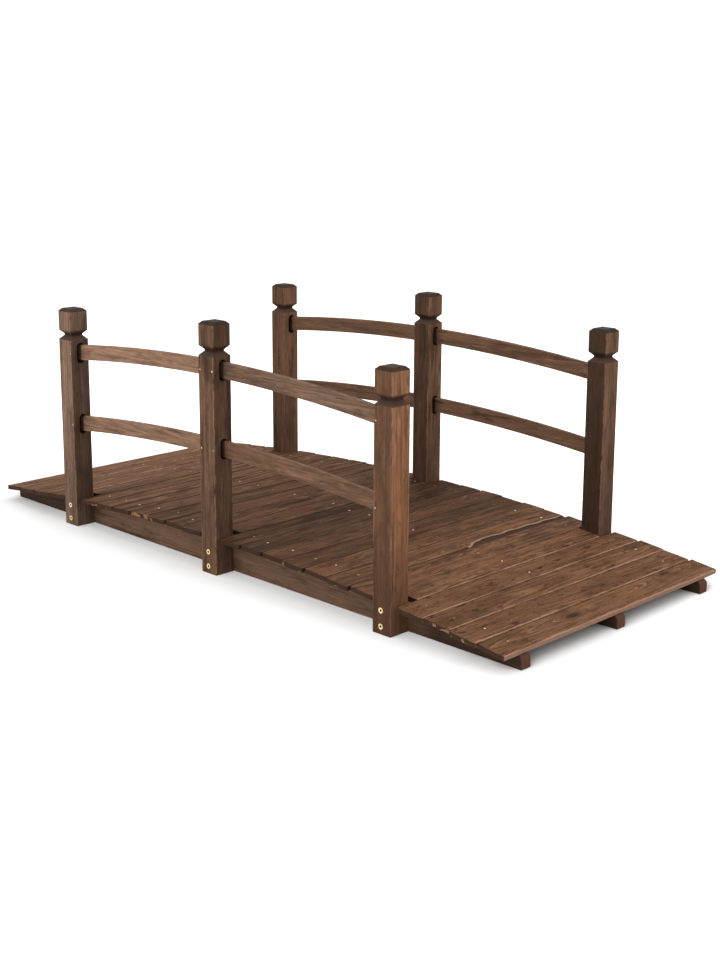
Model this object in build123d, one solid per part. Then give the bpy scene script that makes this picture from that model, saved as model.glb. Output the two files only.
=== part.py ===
"""Arched timber garden bridge with two side railings, in millimetres.

The bridge runs along X, its railings stand at the -Y (front) and +Y (back) sides and Z points up.
The origin is at the middle of the bridge, on the ground.  Three boards on edge with arched tops
carry flat deck boards laid across them.  Six square posts stand on the ground against the outer
stringers, and curved rails end in mortises cut into the posts.
"""
import math
import os

from build123d import *

# Overall sizes
bridge_length = 1524.0
bridge_width = 660.0

# Stringers: boards on edge, flat on the ground, with an arched top
stringer_thickness = 25.0
stringer_middle_height = 69.0
stringer_end_height = 24.5
stringer_tip_chamfer = 5.0
stringer_edge_chamfer = 1.2

# Posts, square in section, with a cap cut from the same timber
post_width = 45.0
post_spacing = 480.0
middle_post_height = 507.0
end_post_drop = 25.0
post_edge_radius = 1.6

# Cap: a bevelled top, a plain cube and a V-shaped groove with a narrow flat at its bottom
cap_bevel_inset = 7.0
cap_bevel_height = 6.5
cap_side_height = 40.5
cap_edge_radius = 3.2
cap_top_radius = 1.5
groove_depth = 9.0
groove_flat = 2.9

# Round recesses in the outer faces of the posts, for bolt heads and for the nails into the rails
bolt_heights = (14.0, 44.0)
bolt_offset = 2.5
bolt_recess_diameter = 11.6
bolt_recess_depth = 1.6
nail_from_middle = 18.0
nail_pit_diameter = 4.8
nail_pit_depth = 0.9

# Rails: arcs sawn from a straight board, measured down from the top of the middle posts
rail_height = 33.0
rail_thickness = 8.0
rail_rise = 25.0
rail_edge_chamfer = 0.9
upper_rail_drop = 79.0
lower_rail_drop = 236.0
rail_entry = 21.0

# Mortises: upright slots with round ends, a little off the post's middle line.  A rail stands
# near the back face of its slot and touches neither end of it.
mortise_gap_front = 9.5
mortise_gap_back = 1.5
mortise_offset = 2.0
mortise_end_gap = 1.0
mortise_clearance = 0.3

# Deck boards, laid flat across the stringers
deck_board_width = 59.0
deck_board_thickness = 9.0
deck_board_edge_chamfer = 0.8
deck_board_setback = 4.0
deck_seat = 0.1
bay_gap = 1.0
ramp_gap = 2.5
stringer_overhang = 6.5
end_stagger = 3.0
end_stagger_steps = (0.0, 1.0, -0.7, 0.4, -1.0, 0.7, -0.3)

# The short deck boards end just inside the posts
short_board_gap_front = 13.0
short_board_gap_back = 4.0

# Derived places
post_middle_y = bridge_width / 2 - post_width / 2
post_inner_y = bridge_width / 2 - post_width
side_stringer_y = post_inner_y - stringer_thickness / 2
upper_rail_top = middle_post_height - upper_rail_drop
lower_rail_top = middle_post_height - lower_rail_drop
mortise_width = rail_thickness + mortise_gap_front + mortise_gap_back
ramp_run = bridge_length / 2 - stringer_overhang - deck_board_width / 2 - post_spacing


def arc_radius(half_chord, rise):
    """Radius of the arc that rises by `rise` over half a chord."""
    return (half_chord**2 + rise**2) / (2 * rise)


stringer_radius = arc_radius(bridge_length / 2, stringer_middle_height - stringer_end_height)
rail_radius = arc_radius(post_spacing - post_width / 2, rail_rise)


def make_stringer(middle_y):
    """One board on edge: straight underneath, arched on top, its top corners cut off."""
    half = bridge_length / 2
    with BuildPart() as stringer:
        with BuildSketch(Plane.XZ) as profile:
            with BuildLine():
                Polyline(
                    (-half, stringer_end_height),
                    (-half, 0),
                    (half, 0),
                    (half, stringer_end_height),
                )
                ThreePointArc(
                    (half, stringer_end_height),
                    (0, stringer_middle_height),
                    (-half, stringer_end_height),
                )
            make_face()
            tips = profile.vertices().filter_by_position(Axis.Y, stringer_end_height - 1, bridge_width)
            chamfer(tips, stringer_tip_chamfer)
        extrude(amount=stringer_thickness / 2, both=True)
        chamfer(stringer.edges(), stringer_edge_chamfer)
    return Pos(0, middle_y, 0) * stringer.part


def post_outline(height):
    """Half outline of a post, from its foot to the middle of its bevelled top."""
    half = post_width / 2
    cap_side_top = height - cap_bevel_height
    cap_side_bottom = cap_side_top - cap_side_height
    neck_top = cap_side_bottom - groove_depth
    neck_bottom = neck_top - groove_flat
    shoulder = neck_bottom - groove_depth
    return [
        (half, 0),
        (half, shoulder),
        (half - groove_depth, neck_bottom),
        (half - groove_depth, neck_top),
        (half, cap_side_bottom),
        (half, cap_side_top),
        (half - cap_bevel_inset, height),
    ]


def post_prism(plane, outline):
    """The post's outline, mirrored about its middle line and pulled right through the post."""
    other_half = [(-across, up) for across, up in reversed(outline)]
    with BuildPart() as prism:
        with BuildSketch(plane):
            with BuildLine():
                Polyline(*outline, *other_half, close=True)
            make_face()
        extrude(amount=post_width / 2, both=True)
    return prism.part


def eased_square(height):
    """A square prism with rounded upright edges, rounder at the cap than below it."""
    cap_foot = height - cap_bevel_height - cap_side_height - groove_depth
    with BuildPart() as square:
        with BuildSketch():
            RectangleRounded(post_width, post_width, post_edge_radius)
        extrude(amount=cap_foot)
        with BuildSketch(Plane.XY.offset(cap_foot)):
            RectangleRounded(post_width, post_width, cap_edge_radius)
        extrude(amount=height - cap_foot)
    return square.part


def rail_edges_at(top_at_middle, x):
    """Heights of a rail's lower and upper edge at a distance x from the bridge's middle."""
    centre_z = top_at_middle - rail_radius
    upper = centre_z + math.sqrt(rail_radius**2 - x**2)
    lower = centre_z + math.sqrt((rail_radius - rail_height) ** 2 - x**2)
    return lower, upper


def make_mortise(top_at_middle, post_x, from_x, to_x):
    """The slot that a rail's end goes into, between two distances from the post's middle."""
    near_x = min(abs(post_x + from_x), abs(post_x + to_x)) if post_x else 0.0
    far_x = max(abs(post_x + from_x), abs(post_x + to_x))
    lower = rail_edges_at(top_at_middle, far_x)[0]
    upper = rail_edges_at(top_at_middle, near_x)[1]
    slot_radius = mortise_width / 2
    rail_corner = slot_radius - min(mortise_gap_front, mortise_gap_back)
    round_end = slot_radius - math.sqrt(slot_radius**2 - rail_corner**2)
    slot_height = upper - lower + 2 * (round_end + mortise_clearance)
    with BuildPart() as mortise:
        with BuildSketch(Plane.YZ.offset(from_x)):
            with Locations((mortise_offset, (upper + lower) / 2)):
                SlotOverall(slot_height, mortise_width, rotation=90)
        extrude(amount=to_x - from_x)
    return mortise.part


def make_recess(x, outer_y, z, diameter, depth):
    """A round recess in a post's outer face."""
    return Pos(x, outer_y, z) * Cylinder(diameter / 2, 2 * depth, rotation=(90, 0, 0))


def post_recesses(post_x, outer_y):
    """The recesses for two bolt heads, and for one nail into each rail end that meets the post."""
    side = math.copysign(1, outer_y)
    recesses = [
        make_recess(side * bolt_offset, outer_y, z, bolt_recess_diameter, bolt_recess_depth)
        for z in bolt_heights
    ]
    nail_places = (-nail_from_middle, nail_from_middle)
    if post_x:
        nail_places = (math.copysign(nail_from_middle, -post_x),)
    for rail_top in (upper_rail_top, lower_rail_top):
        for x in nail_places:
            z = sum(rail_edges_at(rail_top, post_x + x)) / 2
            recesses.append(make_recess(x, outer_y, z, nail_pit_diameter, nail_pit_depth))
    return recesses


def make_post(post_x, middle_y):
    """A post with its cap.  An end post has blind mortises, a middle post has them right through."""
    height = middle_post_height - end_post_drop if post_x else middle_post_height
    outline = post_outline(height)
    post = post_prism(Plane.XZ, outline) & post_prism(Plane.YZ, outline) & eased_square(height)
    top_edges = post.edges().filter_by_position(Axis.Z, height - 0.01, height + 0.01)
    post = fillet(top_edges, cap_top_radius)
    half = post_width / 2
    mortise_depth = rail_entry + mortise_end_gap
    if post_x > 0:
        from_x, to_x = -half, -half + mortise_depth
    elif post_x < 0:
        from_x, to_x = half - mortise_depth, half
    else:
        from_x, to_x = -half, half
    for rail_top in (upper_rail_top, lower_rail_top):
        post = post - make_mortise(rail_top, post_x, from_x, to_x)
    for recess in post_recesses(post_x, math.copysign(half, middle_y)):
        post = post - recess
    return Pos(post_x, middle_y, 0) * post


def make_rail(top_at_middle, side, middle_y):
    """One curved rail of the bay at the -X (side -1) or +X (side 1) end."""
    start = post_width / 2 - rail_entry
    end = post_spacing - post_width / 2 + rail_entry
    middle_x = side * (start + end) / 2
    rail_y = middle_y + mortise_offset + (mortise_gap_front - mortise_gap_back) / 2
    with BuildPart() as rail:
        with BuildSketch(Plane.XZ):
            with Locations((0, top_at_middle - rail_radius)):
                Circle(rail_radius)
                Circle(rail_radius - rail_height, mode=Mode.SUBTRACT)
            with Locations((middle_x, top_at_middle)):
                Rectangle(end - start, 4 * rail_height, mode=Mode.INTERSECT)
        extrude(amount=rail_thickness / 2, both=True)
        chamfer(rail.edges().filter_by(GeomType.CIRCLE), rail_edge_chamfer)
    return Pos(0, rail_y, 0) * rail.part


def make_deck_board(middle_x, front_y, back_y):
    """A flat board across the stringers, tangent to their arched tops, its long edges eased."""
    with BuildPart() as board:
        with BuildSketch(Plane.XZ) as section:
            with Locations((0, deck_board_thickness / 2)):
                Rectangle(deck_board_width, deck_board_thickness)
            chamfer(section.vertices(), deck_board_edge_chamfer)
        extrude(amount=(back_y - front_y) / 2, both=True)
    slope = math.asin(middle_x / stringer_radius)
    arc_centre_z = stringer_middle_height - stringer_radius
    seat_z = arc_centre_z + (stringer_radius + deck_seat) * math.cos(slope)
    seat_x = (stringer_radius + deck_seat) * math.sin(slope)
    place = Location((seat_x, (front_y + back_y) / 2, seat_z), (0, math.degrees(slope), 0))
    return place * board.part


def deck_board_places():
    """Middle x of each deck board from the -X end, and whether it stands between two posts."""
    bay_boards = math.floor(post_spacing / (deck_board_width + bay_gap))
    ramp_boards = math.floor(ramp_run / (deck_board_width + ramp_gap))
    half = [(0.0, True)]
    for number in range(1, bay_boards + 1):
        half.append((post_spacing * number / bay_boards, number == bay_boards))
    for number in range(1, ramp_boards + 1):
        half.append((post_spacing + ramp_run * number / ramp_boards, False))
    return [(-x, short) for x, short in reversed(half[1:])] + half


def make_deck():
    """All deck boards by name: full ones over the posts' line, short ones between the posts."""
    boards = {}
    for number, (x, short) in enumerate(deck_board_places()):
        step = end_stagger * end_stagger_steps[number % len(end_stagger_steps)]
        front_y = -bridge_width / 2 + deck_board_setback + step
        back_y = bridge_width / 2 - deck_board_setback + step
        if short:
            front_y = -post_inner_y + short_board_gap_front
            back_y = post_inner_y - short_board_gap_back
        boards[f"deck_board_{number + 1:02d}"] = make_deck_board(x, front_y, back_y)
    return boards


def make_bridge():
    """Every piece of the bridge by name."""
    pieces = {
        "stringer_front": make_stringer(-side_stringer_y),
        "stringer_middle": make_stringer(0),
        "stringer_back": make_stringer(side_stringer_y),
    }
    for row, middle_y in (("front", -post_middle_y), ("back", post_middle_y)):
        for place, post_x in (("left", -post_spacing), ("middle", 0), ("right", post_spacing)):
            pieces[f"post_{row}_{place}"] = make_post(post_x, middle_y)
        for place, side in (("left", -1), ("right", 1)):
            pieces[f"upper_rail_{row}_{place}"] = make_rail(upper_rail_top, side, middle_y)
            pieces[f"lower_rail_{row}_{place}"] = make_rail(lower_rail_top, side, middle_y)
    pieces.update(make_deck())
    return pieces


os.makedirs("parts", exist_ok=True)
for name, piece in make_bridge().items():
    piece.label = name
    export_step(piece, f"parts/{name}.step")
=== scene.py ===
# %% [markdown]
# # An arched garden bridge in charred fir
#
# The bridge is a small one for a garden: three stringers (boards on edge with an arched top), a
# deck of thin boards laid across them, and two railings of curved rails that stand in mortises in
# grooved square posts.  All of it is fir that was singed, brushed and stained, so the finish is most
# of what the eye sees.  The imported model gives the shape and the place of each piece.  This lesson
# adds the camera, the light, the wood, the worn deck boards, the bolts and the nails.

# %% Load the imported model
import math
import random

import bmesh
import bpy
from mathutils import Matrix, Vector, noise


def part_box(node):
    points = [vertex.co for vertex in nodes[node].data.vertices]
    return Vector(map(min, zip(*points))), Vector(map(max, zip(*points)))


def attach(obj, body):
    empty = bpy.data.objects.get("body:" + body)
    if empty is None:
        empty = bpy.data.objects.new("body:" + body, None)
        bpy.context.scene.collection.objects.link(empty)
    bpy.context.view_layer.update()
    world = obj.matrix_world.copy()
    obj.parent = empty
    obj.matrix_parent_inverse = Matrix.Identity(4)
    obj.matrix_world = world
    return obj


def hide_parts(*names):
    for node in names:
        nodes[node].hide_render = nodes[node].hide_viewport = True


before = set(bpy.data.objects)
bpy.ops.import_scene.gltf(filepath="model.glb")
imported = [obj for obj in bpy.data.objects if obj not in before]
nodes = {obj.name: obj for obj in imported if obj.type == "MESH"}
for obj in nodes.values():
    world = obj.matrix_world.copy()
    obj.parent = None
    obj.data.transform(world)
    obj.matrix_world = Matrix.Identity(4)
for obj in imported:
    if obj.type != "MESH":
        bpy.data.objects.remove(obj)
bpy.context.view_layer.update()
MM = 0.001

# %% [markdown]
# ## The camera
#
# The photograph was taken from the right end of the front side, from a little above the posts.  The
# camera was found by matching the corners of the posts, the rails and the deck.  It could also be
# placed by eye, but then the long edges would drift.  The small shift frames the bridge as the
# photograph does without turning the upright posts out of plumb.

# %% Stand the camera
camera = bpy.data.objects.new("photo_camera", bpy.data.cameras.new("photo_camera"))
camera.location = (2.18666, -2.08730, 0.92922)
camera.rotation_euler = (1.360881, -0.008475, 0.767675)
camera.data.sensor_width = 36
camera.data.lens = 54.75
camera.data.shift_x = -0.03125
camera.data.shift_y = -0.0729167
bpy.context.scene.collection.objects.link(camera)
bpy.context.scene.camera = camera
print("camera", tuple(camera.location))

# %% [markdown]
# ## Helpers for materials
#
# A procedural material is a small machine of nodes.  Written out in full, each node takes several
# lines, and the recipe drowns in them.  So one helper adds a node and wires its inputs, and the
# others are short words for the nodes that come back again and again.

# %% Add nodes with one line each


def add(tree, kind, wires=None, **settings):
    """Adds a node.  Each wire is the name or number of an input, with a socket or a plain value."""
    made = tree.nodes.new(kind)
    for name, value in settings.items():
        setattr(made, name, value)
    for name, value in (wires or {}).items():
        if isinstance(value, bpy.types.NodeSocket):
            tree.links.new(value, made.inputs[name])
        else:
            made.inputs[name].default_value = value
    return made


def sums(tree, operation, *values):
    """Adds a Math node over sockets or numbers and returns its result."""
    return add(tree, "ShaderNodeMath", dict(enumerate(values)), operation=operation).outputs[0]


def vectors(tree, operation, *values):
    """Adds a Vector Math node and returns its vector."""
    return add(tree, "ShaderNodeVectorMath", dict(enumerate(values)), operation=operation).outputs[0]


def measured(tree, operation, *values):
    """Adds a Vector Math node and returns its number, such as a length."""
    made = add(tree, "ShaderNodeVectorMath", dict(enumerate(values)), operation=operation)
    return made.outputs["Value"]


def split(tree, vector):
    """The three numbers of a vector."""
    return add(tree, "ShaderNodeSeparateXYZ", {0: vector}).outputs


print("node helpers ready")

# %% Fade, mix and group


def fade(tree, value, low, high, out_low=0.0, out_high=1.0):
    """A smooth step: out_low where the value is at low, out_high where it is at high."""
    wires = {0: value, 1: low, 2: high, 3: out_low, 4: out_high}
    return add(tree, "ShaderNodeMapRange", wires, interpolation_type="SMOOTHSTEP").outputs[0]


def mix(tree, share, first, second):
    """Mixes two colours by a share from 0 to 1."""
    made = add(tree, "ShaderNodeMix", {0: share, 6: first, 7: second}, data_type="RGBA")
    return made.outputs[2]


def grained_noise(tree, where, grains, detail, roughness=0.5):
    """Noise with so many grains per metre along, across and through."""
    scaled = vectors(tree, "MULTIPLY", where, grains)
    wires = {"Vector": scaled, "Scale": 1.0, "Detail": detail, "Roughness": roughness}
    return add(tree, "ShaderNodeTexNoise", wires).outputs[0]


def new_group(name, inputs, outputs):
    """An empty node group with named inputs (name, kind, value) and outputs (name, kind)."""
    group = bpy.data.node_groups.new(name, "ShaderNodeTree")
    for label, kind, value in inputs:
        socket = group.interface.new_socket(label, in_out="INPUT", socket_type="NodeSocket" + kind)
        if value is not None:
            socket.default_value = value
    for label, kind in outputs:
        group.interface.new_socket(label, in_out="OUTPUT", socket_type="NodeSocket" + kind)
    return group, group.nodes.new("NodeGroupInput").outputs, group.nodes.new("NodeGroupOutput").inputs


def moved_by_seed(tree, seed, step, place):
    """Moves a place far away by its seed, so that each piece meets its own part of a noise."""
    seed_step = add(tree, "ShaderNodeCombineXYZ", {0: seed, 1: seed, 2: seed}).outputs[0]
    return vectors(tree, "MULTIPLY_ADD", seed_step, step, place)


print("mixing helpers ready")

# %% [markdown]
# ## The floor
#
# A product photograph like this is taken on white paper.  Close to the bridge, on the side of the
# camera, the paper shows a soft grey shadow, and further off it is burnt out to plain white.  One grey
# for the whole sheet gives either no shadow or a dull horizon, so the paper that the camera sees is
# painted darker near a spot in front of the bridge and lighter with the distance from it: a painted
# shade that deepens the shadow the lights cast.  The light that it throws back on the wood comes from
# one plain grey.

# %% Lay the floor
PAINTED_SHADE_NEAR_PAPER, FAR_PAPER, BOUNCING_PAPER = ((grey, grey, grey, 1) for grey in (0.50, 0.98, 0.50))
SHADOW_SHAPE = (0.8, 1.0, 0.0)
SHADOW_OFFSET = (0.0, 0.35, 0.0)
SHADOW_START, SHADOW_END = 0.62, 1.2

floor_mesh = bmesh.new()
bmesh.ops.create_grid(floor_mesh, x_segments=1, y_segments=1, size=30)
bmesh.ops.translate(floor_mesh, verts=floor_mesh.verts, vec=(0, 0, -0.3 * MM))
floor = bpy.data.objects.new("studio_floor", bpy.data.meshes.new("studio_floor"))
floor_mesh.to_mesh(floor.data)
floor_mesh.free()
bpy.context.scene.collection.objects.link(floor)

paper = bpy.data.materials.new("white_paper")
paper.use_nodes = True
sheet = paper.node_tree
on_floor = add(sheet, "ShaderNodeTexCoord").outputs["Object"]
from_bridge = measured(sheet, "LENGTH", vectors(sheet, "MULTIPLY_ADD", on_floor, SHADOW_SHAPE, SHADOW_OFFSET))
# Painted shade: the paper that the camera sees is darker near the bridge and white further off.
seen_paper_with_painted_shade = mix(sheet, fade(sheet, from_bridge, SHADOW_START, SHADOW_END), PAINTED_SHADE_NEAR_PAPER, FAR_PAPER)
seen = add(sheet, "ShaderNodeLightPath").outputs["Is Camera Ray"]
coat = sheet.nodes["Principled BSDF"].inputs
sheet.links.new(mix(sheet, seen, BOUNCING_PAPER, seen_paper_with_painted_shade), coat["Base Color"])
coat["Roughness"].default_value = 0.9
coat["Specular IOR Level"].default_value = 0.1
floor.data.materials.append(paper)
print("floor", floor.dimensions.x, "metres wide")

# %% [markdown]
# ## The light
#
# The photograph has no hard shadow and no bright spot, as under very large soft lights.  A white world
# gives the flat fill.  One big light overhead, a little behind and to the left, draws the grey shadow
# that spreads to the front and right under the deck.  A weak warm one from the right and a plain one
# from the front lift the faces that look that way.  The fourth shines on the floor alone, by light
# linking: the light that suits the wood leaves the shadow on the paper too dark.

# %% Hang the lights


def soft_light(name, place, aim, size, watts, colour=(1, 1, 1)):
    """A square area light that looks at a point."""
    light = bpy.data.objects.new(name, bpy.data.lights.new(name, "AREA"))
    light.data.size = size
    light.data.energy = watts
    light.data.color = colour
    light.location = place
    light.rotation_euler = (Vector(aim) - Vector(place)).to_track_quat("-Z", "Y").to_euler()
    bpy.context.scene.collection.objects.link(light)
    return light


WORLD_STRENGTH = 1.05
WARM_WHITE = (1.0, 0.93, 0.85)
world = bpy.data.worlds.new("white_studio")
world.use_nodes = True
world.node_tree.nodes["Background"].inputs["Color"].default_value = (1, 1, 1, 1)
world.node_tree.nodes["Background"].inputs["Strength"].default_value = WORLD_STRENGTH
bpy.context.scene.world = world
bpy.context.scene.view_settings.view_transform = "Standard"
soft_light("overhead", place=(-0.5, 0.3, 3.0), aim=(0, 0, 0.1), size=4.2, watts=70)
soft_light("right_fill", place=(3.2, 0.6, 1.6), aim=(0, 0, 0.2), size=1.6, watts=22, colour=WARM_WHITE)
soft_light("front_fill", place=(-1.6, -3.4, 1.3), aim=(0, 0, 0.2), size=2.0, watts=34)
floor_light = soft_light("floor_fill", place=(1.2, -3.0, 1.6), aim=(0, 0, 0), size=2.5, watts=205)
floor_only = bpy.data.collections.new("floor_only")
floor_only.objects.link(floor)
floor_light.light_linking.receiver_collection = floor_only

# %% [markdown]
# ## The fir
#
# Wood grain is not a pattern on the surface: it is a solid full of cones, one per year, around the
# heart of the tree, and each face of a board shows its own cut through them.  So the group below
# measures how far a point is from the heart line, which passes outside the board and leans a
# little.  Where a face cuts the cones at a slant, the rings open into the long arches that flat sawn
# boards show.  Around the rings come noises, all drawn out along the grain, from slow clouds to
# single fibres.

# %% Start the fir group
fir, into, out_of = new_group(
    "fir_grain",
    [
        ("Place", "Vector", None),
        ("Seed", "Float", 1.0),
        ("Heart", "Vector", (0.0, 0.0, 0.03)),
        ("Lean", "Vector", (0.0, 0.0, 0.02)),
        ("Ring Width", "Float", 0.0032),
        ("Wander", "Float", 0.010),
        ("Knots", "Float", 0.3),
        ("Rings", "Float", 0.5),
        ("Brushed", "Float", 0.8),
        ("Flecks", "Float", 0.5),
        ("Cracks", "Float", 0.5),
        ("Char", "Float", 0.4),
        ("Tone", "Float", 1.0),
        ("Grey", "Float", 0.0),
    ],
    [("Color", "Color"), ("Roughness", "Float"), ("Height", "Float")],
)
place = into["Place"]
spot = moved_by_seed(fir, into["Seed"], (1.7, 0.93, 1.31), place)

# Slow: how the rings wander, and where the stain and the flame took more.
wander = grained_noise(fir, spot, (2.2, 11, 11), 3)
ripple = grained_noise(fir, spot, (14, 40, 40), 2)
clouds = grained_noise(fir, spot, (9, 26, 26), 4, 0.6)
patches = grained_noise(fir, spot, (3.5, 13, 13), 3, 0.55)
smears = grained_noise(fir, spot, (3.0, 48, 48), 3, 0.6)
# Fine: bands, brushed lines, fibres, and the small dark marks.
streaks = grained_noise(fir, spot, (5, 110, 110), 4, 0.6)
lines = grained_noise(fir, spot, (17, 250, 250), 3, 0.6)
fibres = grained_noise(fir, spot, (30, 1100, 1100), 3, 0.6)
smudges = grained_noise(fir, spot, (30, 75, 75), 3, 0.6)
ticks = grained_noise(fir, spot, (48, 280, 280), 2, 0.5)
cracks = grained_noise(fir, spot, (9, 310, 310), 2, 0.5)
print("noises in the fir group", len(fir.nodes))

# %% [markdown]
# ### Knots and rings
#
# A knot is a branch that the saw cut across.  Cells of a Voronoi pattern, long along the grain, place
# them: the random colour of a cell decides whether it has a knot, and the distance to the cell's point
# draws the dark core and pushes the rings aside.  A ring is the whole part of the distance to the heart
# line over the ring width, and the fraction tells where in that year's growth a point lies.

# %% Place the knots and count the rings
KNOT_CELLS = (5.5, 15, 4.0)
RIPPLE_DEPTH = 2.2 * MM
KNOT_PUSH = 11 * MM
stretched = vectors(fir, "MULTIPLY", spot, KNOT_CELLS)
cell = add(fir, "ShaderNodeTexVoronoi", {"Vector": stretched, "Scale": 1.0, "Randomness": 0.9}).outputs
cell_chance = add(fir, "ShaderNodeSeparateColor", {0: cell["Color"]}).outputs[0]
has_knot = sums(fir, "LESS_THAN", cell_chance, into["Knots"])
knot_pull = sums(fir, "MULTIPLY", has_knot, fade(fir, cell["Distance"], 0.30, 0.04))
knot_core = sums(fir, "MULTIPLY", has_knot, fade(fir, cell["Distance"], 0.135, 0.03))

heart_line = vectors(fir, "MULTIPLY_ADD", into["Lean"], split(fir, place)[0], into["Heart"])
from_heart = vectors(fir, "MULTIPLY", vectors(fir, "SUBTRACT", place, heart_line), (0, 1, 1))
radius = measured(fir, "LENGTH", from_heart)
radius = sums(fir, "MULTIPLY_ADD", wander, into["Wander"], radius)
radius = sums(fir, "MULTIPLY_ADD", ripple, RIPPLE_DEPTH, radius)
radius = sums(fir, "MULTIPLY_ADD", knot_pull, -KNOT_PUSH, radius)
years = sums(fir, "DIVIDE", radius, into["Ring Width"])
year = sums(fir, "FRACT", years)
hard = sums(fir, "MULTIPLY", fade(fir, year, 0.30, 0.80), fade(fir, year, 0.98, 0.86))
year_number = {"W": sums(fir, "FLOOR", years)}
year_chance = add(fir, "ShaderNodeTexWhiteNoise", year_number, noise_dimensions="1D").outputs[0]
hard = sums(fir, "MULTIPLY", hard, fade(fir, year_chance, -0.2, 0.9))
print("rings and knots", len(fir.nodes))

# %% [markdown]
# ### The stained wood
#
# The soft wood is a dark brown that varies in long streaks, with darker and lighter brushed lines on
# them.  The hard lines of the rings were brushed clean, so they are lighter.  Each step lays one stain
# over the last where its noise passes a limit, as a finisher does with one cloth after another.

# %% Stain the soft wood and the rings
DARK_STREAK, LIGHT_STREAK = (0.053, 0.0212, 0.0084, 1), (0.159, 0.073, 0.0340, 1)
DARK_LINE, LIGHT_LINE = (0.034, 0.0140, 0.0060, 1), (0.225, 0.112, 0.058, 1)
DARK_CLOUD, RUSTY_PATCH = (0.042, 0.0175, 0.0080, 1), (0.180, 0.074, 0.031, 1)
PALE_FIBRE, CLEAN_RING = (0.210, 0.105, 0.055, 1), (0.255, 0.128, 0.065, 1)
RING_SHADOW = (0.034, 0.014, 0.006, 1)
SMUDGE, TICK = (0.030, 0.012, 0.006, 1), (0.026, 0.011, 0.006, 1)


def stain(wood, pattern, low, high, most, colour, strength=None):
    """Stains the wood where a pattern goes from low to high, up to the share in most."""
    share = fade(fir, pattern, low, high, 0.0, most)
    if strength is not None:
        share = sums(fir, "MULTIPLY", share, strength)
    return mix(fir, share, wood, colour)


shown = sums(fir, "MULTIPLY_ADD", sums(fir, "SUBTRACT", streaks, 0.5), into["Brushed"], 0.5)
wood = mix(fir, fade(fir, shown, 0.33, 0.67), DARK_STREAK, LIGHT_STREAK)
wood = stain(wood, lines, 0.45, 0.31, 0.76, DARK_LINE, into["Brushed"])
wood = stain(wood, lines, 0.54, 0.68, 0.70, LIGHT_LINE, into["Brushed"])
wood = stain(wood, clouds, 0.50, 0.32, 0.55, DARK_CLOUD)
wood = stain(wood, fibres, 0.38, 0.72, 0.28, PALE_FIBRE)
wood = stain(wood, patches, 0.50, 0.72, 0.45, RUSTY_PATCH)
hard_share = sums(fir, "MULTIPLY", hard, fade(fir, clouds, 0.34, 0.60, 0.10, 0.85))
hard_share = sums(fir, "MULTIPLY", hard_share, into["Rings"])
wood = mix(fir, hard_share, wood, CLEAN_RING)
wood = stain(wood, year, 0.16, 0.0, 0.60, RING_SHADOW, into["Rings"])
wood = stain(wood, smudges, 0.58, 0.68, 0.95, SMUDGE, into["Flecks"])
wood = stain(wood, ticks, 0.61, 0.67, 0.90, TICK, into["Flecks"])
print("stained", len(fir.nodes))

# %% [markdown]
# ### Char, cracks and knots
#
# Patches where the flame stayed longer are nearly black.  Three noises are weighed together for them,
# because a flame follows the streaks of the wood as well as its own way.  Cracks are short and black,
# and each knot has a dark halo, a reddish ring and a black core.

# %% Char the wood and draw its faults
CHAR, CRACK = (0.024, 0.0112, 0.0062, 1), (0.012, 0.006, 0.0035, 1)
KNOT_RING, KNOT_HALO, KNOT_CORE = (0.17, 0.075, 0.035, 1), (0.042, 0.018, 0.009, 1), (0.024, 0.010, 0.006, 1)

flame = sums(fir, "MULTIPLY_ADD", smears, 0.38, sums(fir, "MULTIPLY", clouds, 0.38))
flame = sums(fir, "MULTIPLY_ADD", streaks, 0.24, flame)
flame_limit = sums(fir, "MULTIPLY_ADD", into["Char"], -0.34, 0.72)
charred = fade(fir, sums(fir, "SUBTRACT", flame, flame_limit), -0.05, 0.09, 0.0, 0.80)
wood = mix(fir, charred, wood, CHAR)

splits = sums(fir, "MAXIMUM", fade(fir, cracks, 0.635, 0.675), fade(fir, streaks, 0.655, 0.690, 0.0, 0.85))
cracked = sums(fir, "MULTIPLY", splits, into["Cracks"])
wood = mix(fir, cracked, wood, CRACK)

knot_ring = sums(fir, "SUBTRACT", fade(fir, knot_pull, 0.25, 0.72), knot_core)
wood = mix(fir, sums(fir, "MULTIPLY", knot_ring, 0.30), wood, KNOT_RING)
wood = stain(wood, cell["Distance"], 0.26, 0.08, 0.45, KNOT_HALO, has_knot)
wood = mix(fir, sums(fir, "MULTIPLY", knot_core, 0.82), wood, KNOT_CORE)
print("charred", len(fir.nodes))

# %% [markdown]
# ### Tone, gloss and relief
#
# Two numbers set a piece apart from its neighbours: its tone makes it darker or lighter, and its grey
# takes the red out, as weather does.  Hard lines are a little smoother and stand proud of the soft
# wood, char is quite matt, and cracks are sunk.

# %% Finish the fir group
GREY_TINT = (1.27, 0.96, 0.76)
wood = vectors(fir, "SCALE", wood)
fir.links.new(into["Tone"], wood.node.inputs["Scale"])
brightness = add(fir, "ShaderNodeRGBToBW", {0: wood}).outputs[0]
greys = {number: sums(fir, "MULTIPLY", brightness, share) for number, share in enumerate(GREY_TINT)}
wood = mix(fir, into["Grey"], wood, add(fir, "ShaderNodeCombineColor", greys).outputs[0])

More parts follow.
